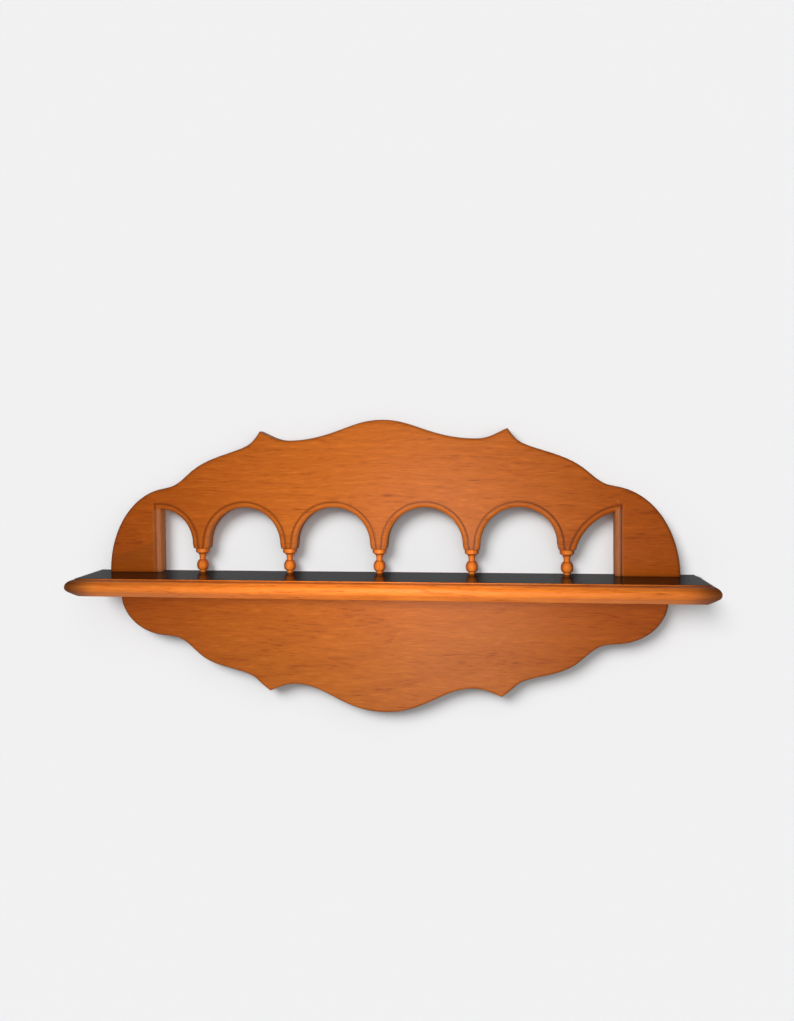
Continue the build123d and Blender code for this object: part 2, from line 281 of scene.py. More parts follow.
class Finish:
    """What every finish shares: a new material with a shader."""

    name: str

    def start(self) -> tuple[Material, Recipe, Node]:
        """Makes an empty material.

        Returns:
            The material, the recipe for its nodes and its shader.
        """
        material = bpy.data.materials.new(self.name)
        material.use_nodes = True
        material.node_tree.nodes.clear()
        recipe = Recipe(material.node_tree)
        shader = recipe.add("ShaderNodeBsdfPrincipled")
        recipe.add("ShaderNodeOutputMaterial", {"Surface": shader.outputs[0]})
        return material, recipe, shader


@dataclass(frozen=True)
class LacqueredWood(Finish):
    """Stained hardwood under satin lacquer.

    Its figure comes from the tree's rings, cut flat, with pores and fibres drawn out along the grain.
    """

    name: str
    pale: Colour
    middle: Colour
    dark: Colour
    grain: Grain = Grain.ALONG
    heart: Place = (0.0, 0.13, 0.02)
    shift: Place = (0.0, 0.0, 0.0)
    wander: Place = (0.0, 0.030, 0.030)
    lean: float = 0.03
    ring_gap: float = 0.0075
    ring_middle: float = 0.35
    late_wood: Span = (0.30, 0.92)
    early_wood: Span = (0.93, 1.0)
    pore_edge: Span = (0.58, 0.70)
    tone: float = 0.55
    tone_ends: Span = (0.08, 0.92)
    ring_strength: float = 0.12
    fibre_strength: float = 0.46
    dash_strength: float = 1.00
    mottle_strength: float = 0.26
    pore_strength: float = 0.20
    fibre_height: float = 0.5
    pore_depth: float = 0.6
    relief: float = 0.22
    relief_height: float = 0.0002
    rough_fibres: Span = (0.52, 0.40)
    lacquer: float = 1.0
    lacquer_roughness: float = 0.30
    side_lacquer: float = 1.0
    side_facing: Span = (0.45, 0.90)
    soft_edge: float = 0.0
    # Painted shade towards the ends: its tint, and where it starts and ends along the shelf
    end_shade_tint: Colour = (0.93, 0.76, 0.40)
    end_shade_reach: Span = (0.10, 0.36)
    end_grain: Colour = (0.22, 0.06, 0.012)
    end_grain_strength: float = 0.7
    end_facing: Span = (0.35, 0.95)
    end_specks: Span = (0.35, 0.65)
    end_speck_tint: float = 0.6
    # Painted shade in grooves and corners: its reach, strength, fade and tint
    crevice_shade_reach: float = 0.0022
    crevice_shade_strength: float = 0.85
    crevice_light: Span = (0.35, 1.0)
    crevice_shade_tint: float = 0.60

    def make(self) -> Material:
        """Builds the material.

        Returns:
            The finished material.
        """
        material, recipe, shader = self.start()
        layers = self.lay_figure(recipe)
        self.mark(layers)
        bump = recipe.bump(self.relief, self.relief_height, layers.height)
        if self.soft_edge:
            worn = recipe.add("ShaderNodeBevel", {"Radius": self.soft_edge}, samples=SURFACE_SAMPLES)
            recipe.feed(bump, {"Normal": worn.outputs["Normal"]})
        inputs = {
            "Base Color": layers.colour,
            "Roughness": layers.roughness,
            "Normal": bump.outputs["Normal"],
            "Specular IOR Level": 0.0,
            "Coat Weight": self.lacquer,
            "Coat Roughness": self.lacquer_roughness,
            "Coat IOR": LACQUER_IOR,
        }
        recipe.feed(shader, inputs)
        self.complete(layers, shader)
        return material

    def lay_figure(self, recipe: Recipe) -> Layers:
        """Lays the wood's colour, height and roughness.

        Args:
            recipe: the material's recipe.

        Returns:
            The layers, with nothing marked on them yet.
        """
        place = recipe.add("ShaderNodeTexCoord").outputs["Object"]
        turn = (0.0, math.radians(90), 0.0) if self.grain is Grain.UPRIGHT else (0.0, 0.0, 0.0)
        inputs = {"Vector": place, "Location": self.shift, "Rotation": turn}
        straight = recipe.add("ShaderNodeMapping", inputs).outputs[0]
        drift = recipe.clouds(straight, WANDER).outputs["Color"]
        drift = recipe.vectors("SUBTRACT", drift, (NOISE_MIDDLE, NOISE_MIDDLE, NOISE_MIDDLE))
        bent = recipe.vectors("ADD", straight, recipe.vectors("MULTIPLY", drift, self.wander))
        across = recipe.vectors("MULTIPLY", recipe.vectors("SUBTRACT", bent, self.heart), (0.0, 1.0, 1.0))
        radius = recipe.add("ShaderNodeVectorMath", {0: across}, operation="LENGTH").outputs["Value"]
        leaning = recipe.onto(recipe.axis(bent, "X"), self.lean, radius)
        ring = recipe.sum("FRACT", recipe.sum("DIVIDE", leaning, self.ring_gap))
        rings = recipe.times(recipe.rise(ring, *self.late_wood), recipe.fall(ring, *self.early_wood))
        fibre = recipe.noise(bent, FIBRES)
        pores = recipe.rise(recipe.noise(bent, PORES), *self.pore_edge)
        tone = recipe.onto(recipe.minus(rings, self.ring_middle), -self.ring_strength, self.tone)
        tone = recipe.onto(recipe.minus(fibre, NOISE_MIDDLE), self.fibre_strength, tone)
        tone = recipe.onto(recipe.off_noise(bent, DASHES), self.dash_strength, tone)
        tone = recipe.onto(recipe.off_noise(straight, MOTTLE), self.mottle_strength, tone)
        tone = recipe.onto(pores, -self.pore_strength, tone)
        ramp = recipe.add("ShaderNodeValToRGB", {0: tone})
        band = ramp.color_ramp
        band.interpolation = "EASE"
        for stop, position, colour in zip(band.elements, self.tone_ends, (self.dark, self.pale)):
            stop.position = position
            stop.color = (*colour, 1.0)
        band.elements.new(sum(self.tone_ends) / 2).color = (*self.middle, 1.0)
        height = recipe.onto(pores, -self.pore_depth, recipe.times(fibre, self.fibre_height))
        roughness = recipe.rise(fibre, *NOISE_RANGE, *self.rough_fibres)
        return Layers(recipe, place, ramp.outputs["Color"], height, roughness)

    def mark(self, layers: Layers) -> None:
        """Adds what only one board shows; a plain board has nothing more."""

    def complete(self, layers: Layers, shader: Node) -> None:
        """Leaves less lacquer on surfaces that cut across the fibres, which drink it.

        Args:
            layers: the wood's layers.
            shader: the material's shader.
        """
        if self.side_lacquer < 1.0:
            recipe = layers.recipe
            across = recipe.unsigned(recipe.facing("X"))
            left = recipe.rise(across, *self.side_facing, self.lacquer, self.lacquer * self.side_lacquer)
            recipe.feed(shader, {"Coat Weight": left})

    def paint_crevice_shade(self, layers: Layers) -> None:
        """Paints shade into narrow grooves and inside corners, where ambient occlusion finds them hidden.

        Args:
            layers: the wood's layers.
        """
        recipe = layers.recipe
        kind = "ShaderNodeAmbientOcclusion"
        inputs = {"Distance": self.crevice_shade_reach}
        # Painted shade: darker where ambient occlusion finds the surface hidden
        hidden = recipe.add(kind, inputs, samples=SURFACE_SAMPLES, only_local=True)
        share = recipe.fall(hidden.outputs["AO"], *self.crevice_light, self.crevice_shade_strength)
        layers.lay(share, shade(self.dark, self.crevice_shade_tint))

    def paint_end_shade(self, layers: Layers) -> None:
        """Paints shade towards the board's ends, darker and redder away from the middle."""
        from_middle = layers.recipe.unsigned(layers.recipe.axis(layers.place, "X"))
        # Painted shade: multiplies the colour darker and redder away from the middle
        layers.lay(layers.recipe.rise(from_middle, *self.end_shade_reach), self.end_shade_tint, "MULTIPLY")

    def show_end_grain(self, layers: Layers) -> None:
        """Lets surfaces that cut across the fibres drink more stain.

        Args:
            layers: the wood's layers.
        """
        recipe = layers.recipe
        across = recipe.unsigned(recipe.facing("X"))
        share = recipe.rise(across, *self.end_facing, 0.0, self.end_grain_strength)
        specks = recipe.rise(recipe.noise(layers.place, END_SPECKS), *self.end_specks)
        layers.lay(share, recipe.mix(specks, shade(self.end_grain, self.end_speck_tint), self.end_grain))


@dataclass(frozen=True)
class ArcadeWood(LacqueredWood):
    """Wood of the upper panel, with the marks that its arcade brings out.

    The flame is a line through a point at a slope, and the filler spot has its radius in the middle.
    """

    side_lacquer: float = 0.35
    soft_edge: float = 0.0042
    end_grain: Colour = (0.56, 0.190, 0.070)
    end_grain_strength: float = 0.75
    # Painted shade in crevices, wider and softer on the arcade
    crevice_shade_reach: float = 0.0050
    crevice_shade_strength: float = 0.55
    jamb: float = 0.2812
    jamb_shift: float = -0.0030
    # The pale bead on the jambs, whose band also paints light over the groove beside it
    bead_start: Span = (-0.0010, 0.0004)
    bead_stop: Span = (0.0070, 0.0098)
    bead_top: Span = (0.0775, 0.0815)
    bead_strength: float = 0.80
    torn_tint: float = 0.75
    flame: Place = (-0.345, 0.020, 0.37)
    flame_edge: Span = (-0.0010, 0.0016)
    flame_end: Span = (0.045, 0.085)
    flame_foot: Span = (-0.02, 0.03)
    flame_foot_share: float = 0.35
    flame_wobble: float = 0.012
    flame_strength: float = 0.5
    flame_tint: float = 0.62
    filler: Colour = (0.60, 0.30, 0.13)
    filler_spot: Place = (0.2811, 0.0011, 0.0894)
    filler_core: float = 0.6
    filler_strength: float = 0.75

    def mark(self, layers: Layers) -> None:
        """Adds painted shade towards the ends and in crevices, the worked edges with painted light over
        the bead's groove, the dark flame by one end and a filled pin hole.

        Args:
            layers: the wood's layers.
        """
        recipe = layers.recipe
        x, z = (recipe.axis(layers.place, name) for name in "XZ")
        self.paint_end_shade(layers)
        self.lay_flame(layers, x, z)
        self.show_end_grain(layers)
        self.paint_crevice_shade(layers)
        self.lay_bead_and_groove_light(layers, x, z)
        spot_x, spot_radius, spot_z = self.filler_spot
        off_x, off_z = recipe.minus(x, spot_x), recipe.minus(z, spot_z)
        off = recipe.sum("SQRT", recipe.onto(off_x, off_x, recipe.times(off_z, off_z)))
        core = self.filler_core * spot_radius
        layers.lay(recipe.fall(off, core, spot_radius, self.filler_strength), self.filler)

    def lay_flame(self, layers: Layers, x: Socket, z: Socket) -> None:
        """Darkens the wood below a slanting, wavering line by the left end.

        Args:
            layers: the wood's layers.
            x: how far along the shelf the place is.
            z: how high it is.
        """
        recipe = layers.recipe
        start_x, start_z, slope = self.flame
        edge = recipe.onto(recipe.minus(x, start_x), slope, start_z)
        edge = recipe.onto(recipe.off_noise(layers.place, FLAME_WOBBLE), self.flame_wobble, edge)
        below = recipe.rise(recipe.minus(edge, z), *self.flame_edge)
        left = recipe.fall(x, *(start_x + end for end in self.flame_end))
        fades = recipe.rise(z, *self.flame_foot, self.flame_foot_share)
        share = recipe.times(recipe.times(below, left), recipe.times(fades, self.flame_strength))
        layers.lay(share, shade(self.middle, self.flame_tint))

    def lay_bead_and_groove_light(self, layers: Layers, x: Socket, z: Socket) -> None:
        """Pales the short grain of the bead on both jambs, and paints light over the groove beside it to
        lift its shade.

        Args:
            layers: the wood's layers.
            x: how far along the shelf the place is.
            z: how high it is.
        """
        recipe = layers.recipe
        from_middle = recipe.unsigned(recipe.minus(x, self.jamb_shift))
        distance = recipe.minus(from_middle, self.jamb)
        starts, stops = recipe.rise(distance, *self.bead_start), recipe.fall(distance, *self.bead_stop)
        share = recipe.times(recipe.times(starts, stops), recipe.fall(z, *self.bead_top))
        torn = recipe.rise(recipe.noise(layers.place, TORN_FIBRES), *NOISE_RANGE)
        paler = recipe.mix(torn, shade(self.end_grain, self.torn_tint), self.end_grain)
        # Short grain of the bead, and painted light over the groove's shade
        layers.lay(recipe.times(share, self.bead_strength), paler)


@dataclass(frozen=True)
class PanelWood(LacqueredWood):
    """Wood of the lower panel, with dark end grain on its sawn outline."""

    side_lacquer: float = 0.35

    def mark(self, layers: Layers) -> None:
        """Adds painted shade towards the ends, end grain and painted shade in corners.

        Args:
            layers: the wood's layers.
        """
        self.paint_end_shade(layers)
        self.show_end_grain(layers)
        self.paint_crevice_shade(layers)


@dataclass(frozen=True)
class ShelfWood(LacqueredWood):
    """Wood of the shelf board, whose top is polished near-black.

    Each dark line on the moulded edge has its height, half its width and its strength; the top one is
    painted shadow under the lip's step.
    """

    # Painted shade in crevices
    crevice_shade_reach: float = 0.0018
    crevice_shade_strength: float = 0.80
    end_grain: Colour = (0.20, 0.050, 0.008)
    end_grain_strength: float = 0.95
    # Painted shade towards the tips: where it starts and ends along the shelf, its strength and tint
    tip: Span = (0.338, 0.381)
    tip_shade_strength: float = 0.88
    tip_shade_tint: float = 0.45
    # Dark lines along the moulded edge; the top one is painted shadow under the lip's step
    step_shadow_and_dark_lines: tuple[Place, ...] = (
        (-0.0021, 0.0005, 0.60),
        (-0.0056, 0.0008, 0.28),
        (-0.0166, 0.0007, 0.25),
    )
    line_waver: float = 0.0012
    line_reach: Span = (0.4, 1.8)
    black: Colour = (0.009, 0.009, 0.010)
    black_roughness: float = 0.12
    black_mirror: float = 0.52
    black_edge: Span = (-0.00035, -0.00012)
    black_facing: Span = (0.55, 0.75)
    smear_strength: float = 0.08
    dust_strength: float = 0.08
    dust_edge: Span = (0.66, 0.74)

    def mark(self, layers: Layers) -> None:
        """Adds dark lines along the moulded edge, the top one painted shadow under the step, painted shade
        at the tips, end grain and painted shade in corners.

        Args:
            layers: the wood's layers.
        """
        recipe = layers.recipe
        x, z = (recipe.axis(layers.place, name) for name in "XZ")
        waver = recipe.off_noise(layers.place, LINE_WAVER)
        for height, half_width, strength in self.step_shadow_and_dark_lines:
            off = recipe.unsigned(recipe.minus(z, recipe.onto(waver, self.line_waver, height)))
            reach = (share * half_width for share in self.line_reach)
            layers.lay(recipe.fall(off, *reach, strength), self.dark)
        # Painted shade, darker towards the tips
        tip = recipe.rise(recipe.unsigned(x), *self.tip, 0.0, self.tip_shade_strength)
        layers.lay(tip, shade(self.end_grain, self.tip_shade_tint))
        self.show_end_grain(layers)
        self.paint_crevice_shade(layers)

    def complete(self, layers: Layers, shader: Node) -> None:
        """Lays the near-black polish over the top.

        Args:
            layers: the wood's layers.
            shader: the material's shader.
        """
        recipe = layers.recipe
        level = recipe.rise(recipe.axis(layers.place, "Z"), *self.black_edge)
        top = recipe.times(level, recipe.rise(recipe.facing("Z"), *self.black_facing))
        smears = recipe.noise(layers.place, POLISH_SMEARS)
        dust = recipe.rise(recipe.noise(layers.place, POLISH_DUST), *self.dust_edge)
        polish = self.black_roughness - NOISE_MIDDLE * self.smear_strength
        polish = recipe.onto(smears, self.smear_strength, polish)
        polish = recipe.onto(dust, self.dust_strength, polish)
        inputs = {
            "Base Color": recipe.mix(top, layers.colour, self.black),
            "Roughness": recipe.blend_numbers(top, layers.roughness, polish),
            "Metallic": recipe.rise(top, 0.0, 1.0, 0.0, self.black_mirror),
            "Coat Weight": recipe.fall(top, 0.0, 1.0, self.lacquer),
        }
        recipe.feed(shader, inputs)


@dataclass(frozen=True)
class SpindleWood(LacqueredWood):
    """Wood of the spindles, with painted shade where the surface turns away from the front and back."""

    grain: Grain = Grain.UPRIGHT
    # Painted shade on the sides: its strength, and how far the surface faces front or back
    side_shade: float = 0.90
    side_shade_facing: Span = (0.50, 1.0)

    def mark(self, layers: Layers) -> None:
        """Paints shade on the sides, in the hollows and round the ends, where the surface turns away from
        the front.
        """
        forward = layers.recipe.unsigned(layers.recipe.facing("Y"))
        # Painted shade, darker away from the front and back
        layers.lay(layers.recipe.fall(forward, *self.side_shade_facing, self.side_shade), self.dark)


@dataclass(frozen=True)
class BareWood(LacqueredWood):
    """Unfinished hardwood of the hidden dowels."""

    lacquer: float = 0.0


@dataclass(frozen=True)
class ZincSteel(Finish):
    """Bright zinc plating on pressed or turned steel."""

    name: str
    tint: Colour
    roughness: float = 0.34
    crystals: float = 420.0
    crystal_strength: float = 0.25
    scratch_strength: float = 0.5
    scratch_tint: float = 0.80
    scratch_roughness: float = 0.18
    dull_tint: float = 0.55
    dull_strength: float = 0.45
    dull_edge: Span = (0.52, 0.75)
    dull_roughness: float = 0.15
    dull_roughness_edge: Span = (0.50, 0.75)
    relief: float = 0.15
    relief_height: float = 0.00005

    def make(self) -> Material:
        """Builds the material.

        Returns:
            The finished material.
        """
        material, recipe, shader = self.start()
        place = recipe.add("ShaderNodeTexCoord").outputs["Object"]
        cells = recipe.add("ShaderNodeTexVoronoi", {"Vector": place, "Scale": self.crystals}, feature="F1")
        crystal = recipe.axis(cells.outputs["Color"], "X")
        scratches = recipe.noise(place, BRUSH_MARKS)
        dull = recipe.noise(place, DULL_SPOTS)
        tone = recipe.onto(crystal, self.crystal_strength, recipe.times(scratches, self.scratch_strength))
        colour = recipe.mix(tone, shade(self.tint, self.scratch_tint), self.tint)
        spots = recipe.rise(dull, *self.dull_edge, 0.0, self.dull_strength)
        rough = self.roughness - NOISE_MIDDLE * self.scratch_roughness
        rough = recipe.onto(scratches, self.scratch_roughness, rough)
        rough = recipe.onto(recipe.rise(dull, *self.dull_roughness_edge), self.dull_roughness, rough)
        bump = recipe.bump(self.relief, self.relief_height, scratches)
        inputs = {
            "Base Color": recipe.mix(spots, colour, shade(self.tint, self.dull_tint)),
            "Roughness": rough,
            "Normal": bump.outputs["Normal"],
            "Metallic": 1.0,
        }
        recipe.feed(shader, inputs)
        return material


@dataclass(frozen=True)
class PlainPaint(Finish):
    """Matt pale paint of the wall or the floor.

    It is clear from behind, and darker in what the lacquer mirrors.
    """

    name: str
    paint: Colour
    mirrored: float = 0.35

    def make(self) -> Material:
        """Builds the material.

        Returns:
            The finished material.
        """
        material, recipe, shader = self.start()
        path = recipe.add("ShaderNodeLightPath").outputs
        colour = recipe.mix(path["Is Glossy Ray"], self.paint, shade(self.paint, self.mirrored))
        recipe.feed(shader, {"Base Color": colour, "Roughness": 1.0, "Specular IOR Level": 0.0})
        seen = recipe.sum("MAXIMUM", path["Is Camera Ray"], path["Is Glossy Ray"])
        seen = recipe.sum("MAXIMUM", seen, path["Is Transmission Ray"])
        behind = recipe.add("ShaderNodeNewGeometry").outputs["Backfacing"]
        clear = recipe.sum("MAXIMUM", behind, recipe.minus(1.0, seen))
        air = recipe.add("ShaderNodeBsdfTransparent").outputs[0]
        both = recipe.add("ShaderNodeMixShader", {0: clear, 1: shader.outputs[0], 2: air})
        out = next(node for node in recipe.tree.nodes if node.type == "OUTPUT_MATERIAL")
        recipe.feed(out, {"Surface": both.outputs[0]})
        return material


def put_on(node: str, material: Material) -> None:
    """Gives a carried-over solid its finish.

    Args:
        node: the solid's name.
        material: the finish.
    """
    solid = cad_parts[node]
    for place in solid.material_slots:
        place.material = material
    log.info("dressed %s in %s", node, material.name)


def show(name: str, mesh: bpy.types.Mesh) -> Thing:
    """Puts a mesh in the scene.

    Args:
        name: the new object's name.
        mesh: its mesh.

    Returns:
        The object.
    """
    shown = bpy.data.objects.new(name, mesh)
    bpy.context.scene.collection.objects.link(shown)
    return shown


@dataclass
class TurnedSet:
    """Equal turned pieces, made by one node tree from half a profile and set at several places.

    The profile is drawn as radius and height from the foot up, and is swept round its own axis.
    """

    name: str
    slot: str
    replaces: tuple[str, ...]
    profile: Outline
    places: list[Place]
    tilt: Place = (0.0, 0.0, 0.0)
    segments: int = 48
    seed: int = 7
    sharp_angle: float = 38.0
    thread_depth: float = 0.0
    thread_pitch: float = 0.001
    thread_from: float = 0.0
    thread_to: float = 1.0
    thread_flank: Span = (0.18, 0.5)
    thread_fade: float = 0.0015
    slot_size: Place | None = None
    flutes: int = 0
    flute_depth: float = 0.0
    flute_start: float = 0.001
    merge_distance: float = 1e-6

    def build(self, material: Material) -> None:
        """Makes the set and puts it in the scene as one mesh.

        Args:
            material: the pieces' finish.
        """
        places = self.loose_points(self.places, False)
        turned = self.loose_points([(radius, 0.0, height) for radius, height in self.profile], True)
        controls: list[Control] = [
            ("Places", "Object", places),
            ("Segments", "Int", self.segments),
            ("Tilt", "Vector", self.tilt),
            ("Seed", "Int", self.seed),
            ("Sharp Angle", "Float", math.radians(self.sharp_angle)),
            ("Thread Depth", "Float", self.thread_depth),
            ("Thread Pitch", "Float", self.thread_pitch),
            ("Thread From", "Float", self.thread_from),
            ("Thread To", "Float", self.thread_to),
            ("Flutes", "Int", self.flutes),
            ("Flute Depth", "Float", self.flute_depth),
            ("Material", "Material", material),
        ]
        modifier = turned.modifiers.new("turned", "NODES")
        modifier.node_group, identifiers = self.make_tree(controls)
        for title, _, value in controls:
            modifier[identifiers[title]] = value
        evaluated = turned.evaluated_get(bpy.context.evaluated_depsgraph_get())
        mesh = bpy.data.meshes.new_from_object(evaluated)
        mesh.name = self.name
        turned.modifiers.remove(modifier)
        bpy.data.objects.remove(turned)
        bpy.data.objects.remove(places)
        piece = show(self.name, mesh)
        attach(piece, BODY)
        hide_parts(*self.replaces)
        log.info("made %s: %d pieces, %d faces", self.name, len(self.places), len(mesh.polygons))

    def loose_points(self, points: list[Place], joined: bool) -> Thing:
        """Puts a helper made of points in the scene.

        Args:
            points: where they are.
            joined: whether each is joined to the next.

        Returns:
            The helper.
        """
        mesh = bpy.data.meshes.new(self.name + "_points")
        edges = [(i, i + 1) for i in range(len(points) - 1)] if joined else []
        mesh.from_pydata(points, edges, [])
        return show(mesh.name, mesh)

    def make_tree(self, controls: list[Control]) -> tuple[bpy.types.NodeTree, dict[str, str]]:
        """Builds the node tree.

        Args:
            controls: its inputs' names and kinds.

        Returns:
            The tree, and each input's identifier by its name.
        """
        tree = bpy.data.node_groups.new(self.name + "_tree", "GeometryNodeTree")
        tree.is_modifier = True
        tree.interface.new_socket("Geometry", in_out="INPUT", socket_type="NodeSocketGeometry")
        identifiers = {}
        for title, kind, _ in controls:
            made = tree.interface.new_socket(title, in_out="INPUT", socket_type="NodeSocket" + kind)
            identifiers[title] = made.identifier
        tree.interface.new_socket("Geometry", in_out="OUTPUT", socket_type="NodeSocketGeometry")
        recipe = Recipe(tree)
        given = recipe.add("NodeGroupInput").outputs
        shape = self.turn_profile(recipe, given)
        if self.slot_size:
            shape = self.cut_slot(recipe, shape)
        one = self.crease(recipe, shape, given["Sharp Angle"])
        inputs = {"Object": given["Places"]}
        points = recipe.add("GeometryNodeObjectInfo", inputs, transform_space="ORIGINAL")
        inputs = {"Points": points.outputs["Geometry"], "Instance": one, "Rotation": given["Tilt"]}
        copies = recipe.add("GeometryNodeInstanceOnPoints", inputs)
        spin = recipe.add("FunctionNodeRandomValue", {"Seed": given["Seed"]}, data_type="FLOAT_VECTOR")
        recipe.feed(spin, {0: (0.0, 0.0, 0.0), 1: (0.0, 0.0, 2 * math.pi)})
        inputs = {"Instances": copies.outputs[0], "Rotation": spin.outputs[0], "Local Space": True}
        spun = recipe.add("GeometryNodeRotateInstances", inputs)
        real = recipe.add("GeometryNodeRealizeInstances", {0: spun.outputs[0]})
        inputs = {"Geometry": real.outputs[0], "Material": given["Material"]}
        recipe.add("NodeGroupOutput", {0: recipe.add("GeometryNodeSetMaterial", inputs).outputs[0]})
        return tree, identifiers

    def crease(self, recipe: Recipe, shape: Socket, angle: Socket) -> Socket:
        """Shades a shape smooth, but for its sharp edges.

        Args:
            recipe: the tree's recipe.
            shape: the turned shape.
            angle: the angle above which an edge is sharp.

        Returns:
            The shaded shape.
        """
        smooth = recipe.add("GeometryNodeSetShadeSmooth", {"Geometry": shape}, domain="FACE")
        corner = recipe.add("GeometryNodeInputMeshEdgeAngle").outputs[0]
        is_sharp = recipe.add("FunctionNodeCompare", {0: corner, 1: angle}, operation="GREATER_THAN")
        inputs = {"Geometry": smooth.outputs[0], "Selection": is_sharp.outputs[0], "Shade Smooth": False}
        return recipe.add("GeometryNodeSetShadeSmooth", inputs, domain="EDGE").outputs[0]

    def turn_profile(self, recipe: Recipe, given: Sockets) -> Socket:
        """Sweeps the profile round its axis, with a thread or flutes where they are asked for.

        Args:
            recipe: the tree's recipe.
            given: the tree's inputs.

        Returns:
            The closed shape.
        """
        profile = given["Geometry"]
        size = recipe.add("GeometryNodeAttributeDomainSize", {"Geometry": profile}, component="MESH")
        rows = size.outputs["Point Count"]
        columns = recipe.plus(given["Segments"], 1.0)
        inputs = {"Size X": 1.0, "Size Y": 1.0, "Vertices X": columns, "Vertices Y": rows}
        grid = recipe.add("GeometryNodeMeshGrid", inputs)
        position = recipe.add("GeometryNodeInputPosition").outputs[0]
        turn = recipe.plus(recipe.axis(position, "X"), 0.5)
        angle = recipe.times(turn, 2 * math.pi)
        row = recipe.times(recipe.plus(recipe.axis(position, "Y"), 0.5), recipe.minus(rows, 1.0))
        inputs = {"Geometry": profile, "Index": recipe.sum("ROUND", row)}
        point = recipe.add("GeometryNodeSampleIndex", inputs, data_type="FLOAT_VECTOR", domain="POINT")
        recipe.feed(point, {"Value": position})
        radius, height = (recipe.axis(point.outputs[0], name) for name in "XZ")
        radius = recipe.plus(radius, self.thread_rise(recipe, given, turn, height))
        flute = recipe.minus(recipe.sum("COSINE", recipe.times(angle, given["Flutes"])), 1.0)
        groove = recipe.times(flute, recipe.times(given["Flute Depth"], 0.5))
        radius = recipe.plus(radius, recipe.times(groove, recipe.rise(radius, 0.0, self.flute_start)))
        x, y = (recipe.times(radius, recipe.sum(wave, angle)) for wave in ("COSINE", "SINE"))
        place = recipe.add("ShaderNodeCombineXYZ", {"X": x, "Y": y, "Z": height}).outputs[0]
        inputs = {"Geometry": grid.outputs["Mesh"], "Position": place}
        swept = recipe.add("GeometryNodeSetPosition", inputs).outputs[0]
        inputs = {"Geometry": swept, "Distance": self.merge_distance}
        return recipe.add("GeometryNodeMergeByDistance", inputs).outputs[0]

    def thread_rise(
        self, recipe: Recipe, given: Sockets, turn: Socket, height: Socket
    ) -> Socket:
        """How far the thread stands up at a place on the shank.

        Args:
            recipe: the tree's recipe.
            given: the tree's inputs.
            turn: how far round the place is, from 0 to 1.
            height: how high it is.

        Returns:
            The socket that holds the thread's rise.
        """
        lap = recipe.minus(recipe.sum("DIVIDE", height, given["Thread Pitch"]), turn)
        flank = recipe.rise(recipe.sum("PINGPONG", lap, 0.5), *self.thread_flank)
        starts = recipe.rise(recipe.minus(height, given["Thread From"]), 0.0, self.thread_fade)
        stops = recipe.rise(recipe.minus(given["Thread To"], height), 0.0, self.thread_fade)
        return recipe.times(recipe.times(flank, recipe.times(starts, stops)), given["Thread Depth"])

    def cut_slot(self, recipe: Recipe, shape: Socket) -> Socket:
        """Cuts a driver's slot across the head.

        Args:
            recipe: the tree's recipe.
            shape: the turned screw.

        Returns:
            The screw with its slot.
        """
        length, width, depth = self.slot_size
        bar = recipe.add("GeometryNodeMeshCube", {"Size": (length, width, 2 * depth)}).outputs["Mesh"]
        cut = recipe.add("GeometryNodeMeshBoolean", operation="DIFFERENCE")
        recipe.feed(cut, {"Mesh 1": shape, "Mesh 2": bar})
        return cut.outputs["Mesh"]


def bow(start: Span, middle: Span, end: Span, count: int) -> Outline:
    """Points on a smooth curve through three others.

    Args:
        start: its first point.
        middle: the point that it passes halfway.
        end: its last point.
        count: how many points it has.

    Returns:
        The points, without the last.
    """
    points = []
    for number in range(count):
        t = number / count
        a, b, c = 2 * (t - 0.5) * (t - 1), 4 * t * (1 - t), 2 * t * (t - 0.5)
        points.append(tuple(a * s + b * m + c * e for s, m, e in zip(start, middle, end)))
    return points


